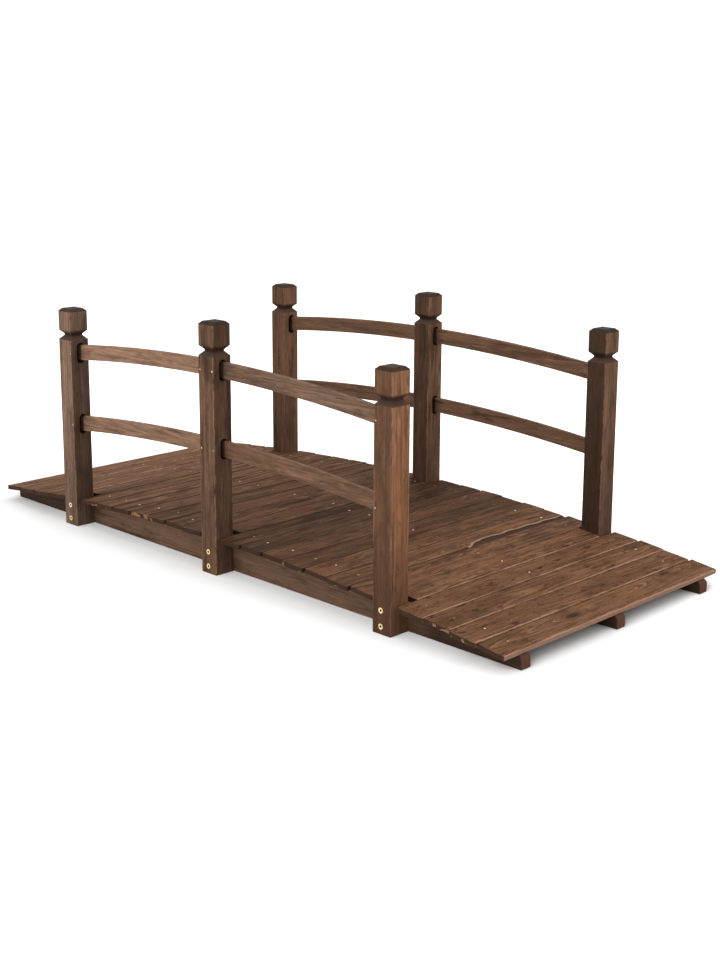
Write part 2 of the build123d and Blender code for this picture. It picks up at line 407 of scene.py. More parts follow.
gloss = sums(fir, "MULTIPLY_ADD", hard_share, -0.14, 0.66)
gloss = sums(fir, "MULTIPLY_ADD", charred, 0.14, gloss)
gloss = sums(fir, "MULTIPLY_ADD", fibres, 0.12, gloss)
relief = sums(fir, "MULTIPLY_ADD", hard, 0.45, sums(fir, "MULTIPLY", fibres, 0.45))
relief = sums(fir, "MULTIPLY_ADD", knot_core, 0.30, relief)
relief = sums(fir, "MULTIPLY_ADD", streaks, 0.35, relief)
relief = sums(fir, "MULTIPLY_ADD", cracked, -0.60, relief)
fir.links.new(wood, out_of["Color"])
fir.links.new(gloss, out_of["Roughness"])
fir.links.new(relief, out_of["Height"])
print("fir group", len(fir.nodes), "nodes")

# %% [markdown]
# ## Worn edges with painted highlight
#
# Wherever two faces of a piece meet, brushing and handling take the stain off and a lighter, pinkish
# line is left; the same line also paints the highlight that a rounded edge catches.  Pointiness would
# need a dense mesh and a bevel shader can't be baked in every tool, so this group works from plain
# distances: on a face one of the three distances to the piece's sides is nothing, so the middle one
# of the three is the distance to the nearest edge.  Two noises nibble at the line, so that it comes
# and goes.

# %% Build the edge group
wear, into, out_of = new_group(
    "rubbed_and_highlit_edge",
    [("Gaps", "Vector", None), ("Place", "Vector", None), ("Seed", "Float", 1.0), ("Width", "Float", 0.0022)],
    [("Edge", "Float")],
)
gap = split(wear, into["Gaps"])
least = sums(wear, "MINIMUM", sums(wear, "MINIMUM", gap[0], gap[1]), gap[2])
most = sums(wear, "MAXIMUM", sums(wear, "MAXIMUM", gap[0], gap[1]), gap[2])
total = sums(wear, "ADD", sums(wear, "ADD", gap[0], gap[1]), gap[2])
to_edge = sums(wear, "SUBTRACT", sums(wear, "SUBTRACT", total, least), most)
spot = moved_by_seed(wear, into["Seed"], (0.7, 1.93, 2.31), into["Place"])
nibbled = grained_noise(wear, spot, (60, 260, 260), 3, 0.6)
patchy = grained_noise(wear, spot, (9, 18, 18), 2)
reach = sums(wear, "MULTIPLY", into["Width"], fade(wear, nibbled, 0.30, 0.75, 0.15, 1.6))
edge = sums(wear, "SUBTRACT", 1.0, sums(wear, "DIVIDE", to_edge, reach))
edge = sums(wear, "MULTIPLY", fade(wear, edge, 0.0, 0.8), fade(wear, patchy, 0.32, 0.60, 0.25, 1.0))
edge = sums(wear, "MULTIPLY", edge, fade(wear, gap[0], 1 * MM, 6 * MM))
wear.links.new(edge, out_of["Edge"])
print("edge group", len(wear.nodes), "nodes")

# %% [markdown]
# ## Distances on a piece
#
# Edges, feet, grooves and joints all need to know how far a point is from the piece's ends and sides.
# On a straight piece that is half its size less the place.  A curved rail has no flat top, so there the
# depth is measured from the axis of its arc.

# %% Measure from the sides of a piece
ALONG_X = Matrix.Identity(3)
ALONG_Y = Matrix(((0, -1, 0), (1, 0, 0), (0, 0, 1)))
ALONG_Z = Matrix(((0, 1, 0), (0, 0, 1), (1, 0, 0)))


def side_gaps(tree, coords, place, half_size, shift, arc):
    """How far a point is from the nearest end, the nearest long side, and the top or bottom."""
    off_centre = vectors(tree, "ADD", place, (0, shift * MM, 0))
    gaps = vectors(tree, "SUBTRACT", half_size, vectors(tree, "ABSOLUTE", off_centre))
    if not arc:
        return gaps
    centre_z, middle_radius, half_depth = arc
    from_axis = vectors(tree, "MULTIPLY", vectors(tree, "SUBTRACT", coords, (0, 0, centre_z)), (1, 0, 1))
    off_middle = sums(tree, "SUBTRACT", measured(tree, "LENGTH", from_axis), middle_radius)
    depth = sums(tree, "SUBTRACT", half_depth, sums(tree, "ABSOLUTE", off_middle))
    gap = split(tree, gaps)
    return add(tree, "ShaderNodeCombineXYZ", {0: gap[0], 1: gap[1], 2: depth}).outputs[0]


print("distances ready")

# %% [markdown]
# ## Marks that only some pieces have
#
# Whole faces of some posts are darkened partly by the flame and partly by painted shade, and the tops
# of the rails by painted shade.  Inside a post's groove and its mortises the brush never reached, so
# the soot stayed, and a painted shade darkens them further; the sloping shoulder under the groove,
# which faces up, gets a painted sheen.
# The deck boards are broken out at their ends, where fresh orange wood shows, and one has a strip of
# bark edge with a pale lip.  Torn wood and bark are read from attributes that the boards' mesh brings.

# %% Burn faces, soot grooves, tear ends
SCORCH_AND_PAINTED_SHADE, BARE_FACE = (0.020, 0.0105, 0.0065, 1), (0.240, 0.140, 0.098, 1)
GROOVE_SOOT_AND_SHADE, SHOULDER_PAINTED_SHEEN = (0.022, 0.0108, 0.0070, 1), (0.066, 0.036, 0.024, 1)
FRESH_WOOD, BARK_LIP, BARK = (0.36, 0.190, 0.105, 1), (0.30, 0.165, 0.100, 1), (0.016, 0.0094, 0.0066, 1)


def tint_face(tree, colour, normal, side, share, tint, where=None):
    """Tints the faces that look to one side, everywhere or by a mask."""
    mask = fade(tree, measured(tree, "DOT_PRODUCT", normal, side), 0.3, 0.8, 0.0, share)
    if where is not None:
        mask = sums(tree, "MULTIPLY", mask, where)
    return mix(tree, mask, colour, tint)


def soot_and_shade_groove(tree, colour, gap, upwards, share):
    """Blackens what lies deep in a post below its cap with soot and painted shade, and gives the groove's
    shoulder, which faces up, a painted sheen.
    """
    inward = sums(tree, "MINIMUM", gap[1], gap[2])
    below_cap = fade(tree, gap[0], 18 * MM, 30 * MM)
    # Soot and painted shade deep in the groove and the mortises.
    sunk_soot_and_shade = sums(tree, "MULTIPLY", fade(tree, inward, 1.5 * MM, 7 * MM, 0.0, share), below_cap)
    colour = mix(tree, sunk_soot_and_shade, colour, GROOVE_SOOT_AND_SHADE)
    # Painted sheen on the shoulder that faces up.
    shoulder_sheen = sums(tree, "MULTIPLY", fade(tree, upwards, 0.3, 0.6), fade(tree, inward, 10.5 * MM, 7 * MM, 0.0, 0.85))
    return mix(tree, sums(tree, "MULTIPLY", shoulder_sheen, below_cap), colour, SHOULDER_PAINTED_SHEEN)


def tear_ends(tree, colour, relief):
    """Shows fresh wood where a board is torn, and bark with its lip where it is waney."""
    torn = add(tree, "ShaderNodeAttribute", attribute_name="torn").outputs["Fac"]
    fresh = sums(tree, "MULTIPLY", fade(tree, torn, 0.30, 0.9), fade(tree, relief, 0.25, 0.6))
    colour = mix(tree, fresh, colour, FRESH_WOOD)
    wane = add(tree, "ShaderNodeAttribute", attribute_name="wane").outputs["Fac"]
    colour = mix(tree, fade(tree, wane, 0.02, 0.16, 0.0, 0.92), colour, BARK_LIP)
    return mix(tree, fade(tree, wane, 0.34, 0.60, 0.0, 0.92), colour, BARK)


print("marks ready")

# %% [markdown]
# ## One finish, many pieces
#
# Every piece was cut from its own tree, so each gets a material of its own from one recipe.  The
# recipe's Mapping node sets the piece's own middle as the centre and turns its grain onto the X axis.
# The rest are the numbers of that piece: where its heart is, how wide its rings are, how dark it came
# out, and which of the marks it has.  Sizes that end up on the wood are given in millimetres.

# %% Write the recipe for a piece of charred fir
RUBBED_AND_HIGHLIT_EDGE, END_GRAIN = (0.295, 0.172, 0.113, 1), (0.020, 0.0115, 0.0078, 1)
JOINT_SOOT, DEEP_SHADE, PAINTED_FOOT_SHADE = (0.018, 0.0095, 0.0060, 1), (0.016, 0.008, 0.005, 1), (0.030, 0.013, 0.007, 1)
UP = (0, 0, 1)


def charred_fir(name, centre, turn, half_size, seed, heart, lean, ring=3.2, rings=0.5, brushed=0.4,
                flecks=0.3, cracks=0.3, wander=10, knots=0.25, char=0.4, tone=1.0, grey=0.0, shine=0.10,
                edge_line_width=2.2, wear_share=0.5, edge_line_shift=0.0, scorched_and_shaded_side=(UP, 0.0), bare=(UP, 0.0), arc=None,
                shaded_ends=None, shaded_foot=None, groove_soot_and_shade=0.0, cap_scorch_and_shade=1.0, joints=0.0, end_wood=END_GRAIN,
                torn=False):
    """A material for one piece of fir.

    The burnt side, darkened by char and painted shade, and the bare side are each a side and a share.
    arc is an axis height, a middle radius and half a depth.  shaded_ends are the distances where the
    painted shade is full and gone, and the foot is a height and a share of painted shade.  The groove,
    the joints and the edges are shares of soot with painted shade in hollows, of soot along the joints
    and of worn edge with painted highlight.
    """
    material = bpy.data.materials.new(name)
    material.use_nodes = True
    tree = material.node_tree
    coords = add(tree, "ShaderNodeTexCoord").outputs["Object"]
    seat = {"Vector": coords, "Location": centre, "Rotation": turn.to_euler()}
    place = add(tree, "ShaderNodeMapping", seat, vector_type="TEXTURE").outputs[0]
    gaps = side_gaps(tree, coords, place, half_size, edge_line_shift, arc)
    gap, along_across = split(tree, gaps), split(tree, place)
    normal = add(tree, "ShaderNodeNewGeometry").outputs["True Normal"]
    grain = add(tree, "ShaderNodeGroup", {
        "Place": place, "Seed": seed, "Heart": heart, "Lean": lean, "Ring Width": ring * MM,
        "Wander": wander * MM, "Rings": rings, "Brushed": brushed, "Flecks": flecks, "Cracks": cracks,
        "Knots": knots, "Char": char, "Tone": tone, "Grey": grey,
    }, node_tree=fir).outputs
    edge_line = {"Gaps": gaps, "Place": place, "Seed": seed, "Width": edge_line_width * MM}
    edge_line = add(tree, "ShaderNodeGroup", edge_line, node_tree=wear).outputs["Edge"]

    colour = grain["Color"]
    off_cap = fade(tree, gap[0], 40 * MM, 60 * MM, cap_scorch_and_shade, 1.0) if groove_soot_and_shade else None
    # The burnt side is darkened by char and painted shade; the bare side shows bare wood.
    for (side, share), tint in ((scorched_and_shaded_side, SCORCH_AND_PAINTED_SHADE), (bare, BARE_FACE)):
        if share:
            colour = tint_face(tree, colour, normal, side, share, tint, off_cap)
    # Worn edges with painted highlight: a lighter line where two faces meet.
    colour = mix(tree, sums(tree, "MULTIPLY", edge_line, wear_share), colour, RUBBED_AND_HIGHLIT_EDGE)
    if joints:
        sideways = sums(tree, "ABSOLUTE", along_across[1])
        sooty = fade(tree, sideways, half_size[1] - 2.4 * MM, half_size[1] - 0.8 * MM, 0.0, joints)
        colour = mix(tree, sooty, colour, JOINT_SOOT)
    if shaded_ends:
        full, gone = shaded_ends
        colour = mix(tree, fade(tree, gap[0], gone * MM, full * MM, 0.0, 0.78), colour, DEEP_SHADE)
    # Painted shade, darker towards the foot of a post.
    if shaded_foot:
        height, share = shaded_foot
        above = sums(tree, "ADD", along_across[0], half_size[0])
        colour = mix(tree, fade(tree, above, height * MM, 60 * MM, 0.0, share), colour, PAINTED_FOOT_SHADE)
    upwards = measured(tree, "DOT_PRODUCT", normal, turn @ Vector((1, 0, 0)))
    downwards = sums(tree, "MULTIPLY", upwards, -0.55 if groove_soot_and_shade else -1.0)
    end_grain = fade(tree, sums(tree, "MAXIMUM", upwards, downwards), 0.25, 0.6, 0.0, 0.90)
    colour = mix(tree, end_grain, colour, end_wood)
    if groove_soot_and_shade:
        colour = soot_and_shade_groove(tree, colour, gap, upwards, groove_soot_and_shade)
    if torn:
        colour = tear_ends(tree, colour, grain["Height"])

    shader = tree.nodes["Principled BSDF"].inputs
    tree.links.new(colour, shader["Base Color"])
    tree.links.new(grain["Roughness"], shader["Roughness"])
    shader["Specular IOR Level"].default_value = shine
    bump = add(tree, "ShaderNodeBump", {"Strength": 0.55, "Distance": 0.7 * MM, "Height": grain["Height"]})
    tree.links.new(bump.outputs[0], shader["Normal"])
    return material


print("recipe ready")

# %% [markdown]
# ### Dressing a piece
#
# Every piece needs the same two steps: its box gives the middle and the size that the recipe asks for,
# and then the finish takes the place of the plain CAD material.

# %% Measure a piece and give it its finish


def wear_it(piece, material):
    """Gives a piece one material in place of what it had."""
    piece.data.materials.clear()
    piece.data.materials.append(material)


def middle_and_half(node):
    """Middle and half size of a node's box."""
    low, high = (Vector(corner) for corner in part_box(node))
    return (low + high) / 2, (high - low) / 2


print("dressing helpers ready")

# %% [markdown]
# ## Posts
#
# Each post is one square timber with its cap cut from the same wood, so the grain runs on through
# the groove.  The CAD solid already has the right shape, so it stays and only gets its finish: the
# two faces in view are cut through the rings at different slants, which the solid grain gives by
# itself.  No two posts came out of the flame alike, so each has its own line in the table: which face
# is burnt, darkened by char and painted shade, whether its cap is spared, and how far up its foot is
# darkened by painted shade.

# %% Finish the posts
TO_RIGHT, TO_FRONT = (1, 0, 0), (0, -1, 0)
# Each post's burnt side is darkened by char and painted shade, and its foot by painted shade.
post_looks = {
    "post_front_left": dict(tone=1.60, grey=0.55, char=0.20, seed=3.1, ring=2.6, rings=0.8,
                            scorched_and_shaded_side=(TO_RIGHT, 0.66), cap_scorch_and_shade=0.30, shaded_foot=(300, 0.42)),
    "post_front_middle": dict(tone=1.20, grey=0.28, char=0.68, seed=7.7, ring=3.4, rings=0.35,
                              scorched_and_shaded_side=(TO_RIGHT, 0.36), shaded_foot=(260, 0.08)),
    "post_front_right": dict(tone=1.62, grey=0.05, char=0.25, seed=12.3, ring=3.0, rings=0.35,
                             scorched_and_shaded_side=(TO_FRONT, 0.52), shaded_foot=(260, 0.46)),
    "post_back_left": dict(tone=1.10, grey=0.20, char=0.50, seed=17.9, ring=3.1, rings=0.35,
                           scorched_and_shaded_side=(TO_FRONT, 0.28), shaded_foot=(300, 0.30)),
    "post_back_middle": dict(tone=1.25, grey=0.22, char=0.55, seed=21.2, ring=3.6, rings=0.35,
                             scorched_and_shaded_side=(TO_FRONT, 0.52), shaded_foot=(330, 0.45)),
    "post_back_right": dict(tone=1.10, grey=0.30, char=0.50, seed=26.4, ring=2.8, rings=0.35,
                            scorched_and_shaded_side=(TO_FRONT, 0.72), shaded_foot=(300, 0.30)),
}
post_hearts = random.Random(4)
for name, look in post_looks.items():
    centre, half = middle_and_half(name)
    side = post_hearts.choice((-1, 1))
    heart = (0, side * post_hearts.uniform(0.015, 0.05), post_hearts.uniform(-0.03, 0.03))
    lean = (0, post_hearts.uniform(-0.01, 0.01), post_hearts.uniform(-0.012, 0.012))
    finish = charred_fir(name + "_fir", centre, ALONG_Z, (half.z, half.x, half.y), heart=heart, lean=lean,
                         brushed=0.6, flecks=0.35, cracks=0.20, knots=0.30, edge_line_width=3.2, wear_share=0.50,
                         groove_soot_and_shade=0.92, **look)
    wear_it(nodes[name], finish)
print("posts", len(post_looks))

# %% [markdown]
# ## Rails
#
# A curved rail is sawn out of a straight board, so the grain stays straight and runs out at the
# curved edges.  The distance to those edges has to follow the curve, so the recipe takes the arc's
# centre and measures outwards from it.  Two points of the top edge, one at its peak and one at its end,
# are enough to find that centre, because it lies at the bridge's middle.  The last 20 mm of each end sit
# in a mortise and are shaded.

# %% Find the arc of a rail or stringer


def arc_of(node):
    """Height of the centre and outer radius of a rail's or stringer's arched top, from its mesh."""
    low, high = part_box(node)
    far = max(abs(low[0]), abs(high[0]))
    points = [v.co for v in nodes[node].data.vertices]
    peak = max(points, key=lambda co: co.z)
    end = max((co for co in points if abs(co.x) > far - 0.2 * MM), key=lambda co: co.z)
    run = abs(end.x) ** 2 - abs(peak.x) ** 2
    centre_z = (end.z**2 - peak.z**2 + run) / (2 * (end.z - peak.z))
    return centre_z, math.hypot(peak.x, peak.z - centre_z)


rails = sorted(name for name in nodes if "rail" in name)
rail_arcs = {name: arc_of(name) for name in rails}
for name, (centre_z, outer) in rail_arcs.items():
    print(name, "arc centre", round(centre_z, 3), "radius", round(outer, 3))

# %% Finish the rails
RAIL_HALF_DEPTH = 16.5 * MM
BACK_RAIL_LOOK = (1.20, 0.30)
# The front rails on the right are darker as a painted shade on top of their own tone.
rail_tone_and_shade = {
    "upper_rail_front_left": (2.10, 0.45),
    "lower_rail_front_left": (1.85, 0.45),
    "upper_rail_front_right": (1.40, 0.50),
    "lower_rail_front_right": (1.27, 0.32),
}
rail_numbers = random.Random(11)
for name, (centre_z, outer) in rail_arcs.items():
    centre, half = middle_and_half(name)
    tone, grey = rail_tone_and_shade.get(name, BACK_RAIL_LOOK)
    side = rail_numbers.choice((-1, 1))
    heart = (0, side * rail_numbers.uniform(0.02, 0.06), rail_numbers.uniform(-0.02, 0.02))
    lean = (0, rail_numbers.uniform(-0.03, 0.03), rail_numbers.uniform(-0.01, 0.01))
    # The burnt side of a rail is its top, darkened by painted shade.
    finish = charred_fir(name + "_fir", centre, ALONG_X, half, seed=rail_numbers.uniform(30, 60), heart=heart,
                         lean=lean, ring=3.0, rings=0.35, brushed=0.50, flecks=0.25, knots=0.45, char=0.48,
                         grey=grey, tone=tone, cracks=0.2, edge_line_width=1.8, wear_share=0.4, scorched_and_shaded_side=(UP, 0.15),
                         arc=(centre_z, outer - RAIL_HALF_DEPTH, RAIL_HALF_DEPTH), shaded_ends=(20.5, 25))
    wear_it(nodes[name], finish)
print("rails", len(rails))

# %% [markdown]
# ## Stringers
#
# The three stringers are the beams.  They are hardly brushed, so they are dark and plain, and a painted
# shade makes them darker still towards their ends, which lie low under the ramps.  Only the tips poke
# out under the last board, and their end grain took a reddish stain.

# %% Finish the stringers
STAINED_TIP = (0.080, 0.033, 0.019, 1)
for number, name in enumerate(("stringer_front", "stringer_middle", "stringer_back")):
    centre, half = middle_and_half(name)
    finish = charred_fir(name + "_fir", centre, ALONG_X, half, seed=70.3 + 5 * number, heart=(0, 0.03, -0.05),
                         lean=(0, 0.012, 0.004), ring=3.6, rings=0.25, brushed=0.3, flecks=0.1, knots=0.3,
                         char=0.45, tone=1.24, grey=0.40, edge_line_width=1.8, wear_share=0.3,
                         shaded_ends=(190, 275), end_wood=STAINED_TIP)
    wear_it(nodes[name], finish)
print("stringers 3")

# %% [markdown]
# ## Deck boards
#
# The deck is sawn thin and nailed down, and its ends are never sanded: they are frayed, singed
# nearly black and broken out at the lower corner where the saw left the wood.  So each board is made
# anew over its CAD solid: a box with eased long edges, cut into slices near its ends, whose points are
# then pushed about by noise.  A dense grid all over would do as well, but most of it would lie flat, so
# the cuts are fine only at the ends and around each nail, where the hammer left a dimple.

# %% Saw one deck board
EASED_EDGE = 1.3 * MM
CUTS_FROM_END = (1.2, 2.8, 5, 8, 12, 18, 27)
CUTS_AROUND_NAIL = (-3.2, -1.9, 0, 1.9, 3.2)
DIMPLE_RADIUS, DIMPLE_SLOPE, DIMPLE_DEPTH = 3.4 * MM, 1.6 * MM, 0.6 * MM


def cut_across(mesh, places, axis):
    """Cuts a mesh through at each place along an axis (0, 1 or 2)."""
    normal = Vector((0, 0, 0))
    normal[axis] = 1
    for at in places:
        geometry = mesh.verts[:] + mesh.edges[:] + mesh.faces[:]
        bmesh.ops.bisect_plane(mesh, geom=geometry, dist=1e-7, plane_co=normal * at, plane_no=normal)


def saw_board(width, length, thickness, nails):
    """A straight board along Y with eased long edges, cut finely at its ends and around its nails."""
    mesh = bmesh.new()
    bmesh.ops.create_cube(mesh, size=1)
    bmesh.ops.scale(mesh, verts=mesh.verts, vec=(width, length, thickness))
    long_edges = [e for e in mesh.edges if abs(e.verts[0].co.y - e.verts[1].co.y) > length / 2]
    bmesh.ops.bevel(mesh, geom=long_edges, offset=EASED_EDGE, segments=3, profile=0.5, affect="EDGES", material=-1)
    near_end = [length / 2 - back * MM for back in CUTS_FROM_END]
    rows = [n * 32 * MM for n in range(-9, 10)]
    columns = [n * width / 15 for n in range(-7, 8)]
    for x, y in nails:
        rows += [y + step * MM for step in CUTS_AROUND_NAIL]
        columns += [x + step * MM for step in CUTS_AROUND_NAIL]
    cut_across(mesh, near_end + [-y for y in near_end] + rows, 1)
    cut_across(mesh, columns, 0)
    cut_across(mesh, [-thickness / 6, thickness / 6], 2)
    for point in mesh.verts:
        for x, y in nails:
            inside = DIMPLE_RADIUS - math.hypot(point.co.x - x, point.co.y - y)
            if point.co.z > thickness * 0.4 and inside > 0:
                point.co.z -= DIMPLE_DEPTH * min(1.0, inside / DIMPLE_SLOPE)
    return mesh


print("saw ready")

# %% [markdown]
# ### Frayed ends and broken corners
#
# Three things make a sawn end: a slow bow across the board, a fine roughness, and corners rounded by
# knocks.  On top of them chips break out at the lower corner.  Where one did, the point is marked in
# the attribute torn, which the finish reads to show fresh orange wood.  The noise may push an end out
# by less than a millimetre only, so that the deck stays inside the CAD model's box.

# %% Fray a board
BOW, ROUGHNESS, ROUNDING, CORNER = 1.3 * MM, 1.0 * MM, 1.6 * MM, 4 * MM
FRAYED, MOST_OUTWARDS = 20 * MM, 0.9 * MM
CHIP_REACH, CHIP_DEPTH, DEEPEST_CHIP, FRESH_DEPTH = 10 * MM, 14 * MM, 4 * MM, 1.6 * MM


def end_shape(x, z, side, back, width, seed, skew):
    """How far a point near a board's end is pulled in, before any chip."""
    near = max(0.0, 1 - back / FRAYED)
    bow = noise.noise(Vector((x * 22, side * 7 + seed, 0.5))) * BOW
    rough = noise.noise(Vector((x * 110, side * 31 + seed, z * 160))) * ROUGHNESS * near**2
    rounded = max(0.0, 1 - (width / 2 - abs(x)) / CORNER) ** 2 * ROUNDING
    return max((bow + rough + rounded + side * skew * x) * near, -MOST_OUTWARDS)


def chip(x, z, side, back, thickness, seed, breakage):
    """How much is broken out at a point: most at the lower corner of the end."""
    broken = noise.noise(Vector((x * 95, side * 13 + seed * 2, z * 90 + 3.1))) - (0.62 - breakage)
    if broken <= 0 or back >= 12 * MM:
        return None
    reach_up = 0.15 + max(0.0, breakage - 0.5)
    low_corner = max(0.0, min(1.0, (thickness * 0.25 - z) / thickness + reach_up))
    return min(broken * CHIP_DEPTH, DEEPEST_CHIP) * low_corner * max(0.0, 1 - back / CHIP_REACH)


def fray(mesh, width, length, thickness, seed, skew, breakage, shorter):
    """Pushes a board's points about: skewed and frayed ends, broken corners and wavy edges."""
    torn = mesh.verts.layers.float.new("torn")
    mesh.verts.layers.float.new("wane")
    for point in mesh.verts:
        x, y, z = point.co
        side = 1 if y > 0 else -1
        back = length / 2 - abs(y)
        inward = end_shape(x, z, side, back, width, seed, skew)
        loss = chip(x, z, side, back, thickness, seed, breakage)
        if loss is not None:
            inward += loss
            point[torn] = min(1.0, loss / FRESH_DEPTH)
        if side < 0:
            inward += shorter * MM * abs(y) / (length / 2)
        point.co.y = y - side * inward
        if abs(x) > width / 2 - 1.2 * MM:
            edge_side = 1 if x > 0 else -1
            wave = noise.noise(Vector((y * 9, edge_side * 5 + seed, 1.7)))
            point.co.x = x - edge_side * (0.25 + 0.45 * wave) * MM
        point.co.z = z + noise.noise(Vector((x * 30, y * 5 + seed, 2.2))) * 0.18 * MM
    return mesh


print("frayer ready")

# %% [markdown]
# ### A strip of bark edge
#
# One board of the right bay was sawn from the outside of the trunk.  Along part of its edge the saw ran
# out of the wood, and a shallow dark strip is left with a pale wavy lip.  It is drawn as a few rows,
# from the middle of the board to its back end: how far along, and between which lines across.

# %% Sink the bark edge
BARK_BOARD, BARK_DEPTH = 19, 2.0 * MM
BARK_EDGE = [(14, 31, 45), (45, 17, 45), (78, 9, 45), (92, 13, 45), (190, 15, 45), (330, 21, 45)]


def show_bark(mesh, outline, depth):
    """Sinks the strip where the saw ran out through the bark: rows of (along, from, to) in millimetres."""
    wane = mesh.verts.layers.float["wane"]
    for point in mesh.verts:
        x, y = point.co.x / MM, point.co.y / MM
        for first, second in zip(outline, outline[1:]):
            if first[0] <= y < second[0] and point.co.z > 0:
                share = (y - first[0]) / (second[0] - first[0])
                start = first[1] + (second[1] - first[1]) * share + 1.5 * math.sin(y / 9)
                stop = first[2] + (second[2] - first[2]) * share
                inside = min((x - start) / 7, (stop - x) / 3)
                point[wane] = max(0.0, min(1.0, 0.5 + inside))
                point.co.z -= depth * max(0.0, min(1.0, inside)) ** 0.7


print("bark edge rows", len(BARK_EDGE))

# %% [markdown]
# ### Sorting the boards
#
# Between the posts the boards are strongly brushed and charred, with dark joints.  The four at each
# end, which make the ramps, are calmer and flecked, with pale edges that are worn and carry a painted
# highlight.  Most numbers are drawn by lot, from a seeded list so that every run gives the same deck.
# A few boards are then set one by one where the photograph shows them plainly darker or lighter than
# their neighbours.

# %% Draw the looks of the boards
BOARDS = range(1, 26)
FIRST_IN_BAY, LAST_IN_BAY = 5, 21
LIGHTER_BOARDS = {5: 0.86, 6: 0.92, 7: 0.88, 8: 0.90, 9: 0.74, 10: 0.61, 11: 0.62, 12: 0.64}
RIGHT_BOARDS = {18: 0.76, 19: 0.84, 20: 0.93, 21: 0.95}
DARKER_BOARDS = (13, 15, 16, 17)
lots = random.Random(23)
deck_looks = {}
for number in BOARDS:
    in_bay = FIRST_IN_BAY <= number <= LAST_IN_BAY
    sign = lots.choice((-1, 1))
    deck_looks[number] = dict(
        rings=0.65,
        tone=lots.uniform(0.58, 0.86) if in_bay else lots.uniform(0.78, 0.95),
        char=lots.uniform(0.45, 0.85) if in_bay else 0.35, brushed=1.0 if in_bay else 0.5,
        wander=lots.uniform(4, 9), ring=lots.uniform(2.2, 3.8),
        heart=(0, lots.uniform(-0.03, 0.03), sign * lots.uniform(0.012, 0.05)),
        lean=(0, lots.uniform(-0.015, 0.015), lots.choice((0.02, 0.05, 0.09)) * sign),
        flecks=0.55 if in_bay else 0.80, cracks=0.85 if in_bay else 0.45, knots=0.28 if in_bay else 0.55,
        wear_share=lots.uniform(0.05, 0.40) if in_bay else 0.85, joints=0.75 if in_bay else 0.0,
    )
for number, tone in RIGHT_BOARDS.items():
    deck_looks[number].update(tone=tone, char=0.45)
for number, tone in LIGHTER_BOARDS.items():
    deck_looks[number].update(tone=tone, char=0.58)
for number in DARKER_BOARDS:
    deck_looks[number]["tone"] *= 0.80
deck_looks[20].update(wear_share=0.6, joints=0.3)
deck_looks[21].update(wear_share=0.9, joints=0.0)
deck_looks[25].update(heart=(0, 0.010, 0.010), lean=(0, 0.015, 0.075), wander=13, rings=0.85, ring=3.3,
                      flecks=0.5, bare=((1, 0, 0), 0.75))
print("board tones", [round(deck_looks[number]["tone"], 2) for number in BOARDS])

# %% [markdown]
# ### Laying the deck
#
# A board lies on the arch of the stringers, so its slope comes from the same arc.  It is sawn flat at
# the origin, frayed, and then moved and turned as a mesh, which leaves its object unturned at the
# origin, like the pieces of the CAD model.  The places of its nails are noted for the next step.

# %% Lay the boards
DECK_WIDTH, DECK_THICKNESS = 59 * MM, 9 * MM
NAIL_ROWS = (-0.270, 0.004, 0.274)
BREAKAGE = {6: 0.5, 9: 0.85, 10: 0.55, 17: 0.5, 23: 0.6, 24: 0.6}
WIDER = {1: 6.0 * MM}
SHORTER = {1: 7.0, 2: -1.5, 3: 1.0}
SINGED_END = (0.036, 0.0195, 0.0128, 1)
deck_arc = arc_of("stringer_middle")
deck_nails = []


def place_of_board(node):
    """Where a deck board's solid lies: middle, slope and length."""
    low, high = (Vector(corner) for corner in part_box(node))
    centre = (low + high) / 2
    slope = math.asin(centre.x / math.hypot(centre.x, centre.z - deck_arc[0]))
    return centre, slope, high.y - low.y


for number in BOARDS:
    name, board_name = f"deck_board_{number:02d}", f"board_{number:02d}"
    centre, slope, length = place_of_board(name)
    seed = 100.0 + number * 3.7
    nails = []
    for row in NAIL_ROWS:
        y = row + lots.uniform(-8, 8) * MM - centre.y
        if abs(y) < length / 2 - 6 * MM:
            nails.append((lots.uniform(-7, 7) * MM, y))
    width = DECK_WIDTH + WIDER.get(number, 0)
    mesh = saw_board(width, length, DECK_THICKNESS, nails)
    if number == BARK_BOARD:
        cut_across(mesh, [n * 8 * MM for n in range(3, 40)], 1)
    fray(mesh, width, length, DECK_THICKNESS, seed, skew=lots.uniform(-0.035, 0.035),
         breakage=BREAKAGE.get(number, 0.15), shorter=SHORTER.get(number, lots.uniform(-1, 2)))
    if number == BARK_BOARD:
        show_bark(mesh, BARK_EDGE, BARK_DEPTH)
    seat = Matrix.Translation(centre) @ Matrix.Rotation(slope, 4, "Y")
    seat = seat @ Matrix.Translation(((DECK_WIDTH - width) / 2, 0, 0))
    bmesh.ops.transform(mesh, verts=mesh.verts, matrix=seat)
    deck_nails += [seat @ Matrix.Translation((x, y, DECK_THICKNESS / 2 - DIMPLE_DEPTH)) for x, y in nails]
    board = bpy.data.objects.new(board_name, bpy.data.meshes.new(board_name))
    mesh.to_mesh(board.data)
    mesh.free()
    bpy.context.scene.collection.objects.link(board)
    finish = charred_fir(
        board_name + "_fir", centre, Matrix.Rotation(slope, 3, "Y") @ ALONG_Y,
        (length / 2, DECK_WIDTH / 2, DECK_THICKNESS / 2), seed=seed, shine=0.05, edge_line_width=3.4,
        edge_line_shift=-1.4, torn=True, end_wood=SINGED_END, **deck_looks[number])
    wear_it(board, finish)
    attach(board, "root")
    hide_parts(name)
print("deck boards", len(BOARDS), "the last of", len(board.data.polygons), "faces")

# %% [markdown]
# ## Nails
#
# Every deck board is held by one nail over each stringer, and each rail end by one nail through its
# post.  A nail head is a shape that a lathe could turn, so half of its outline is drawn as a few points
# and spun round.  All the nails of a place are joined to one mesh, each head standing in its own dimple.

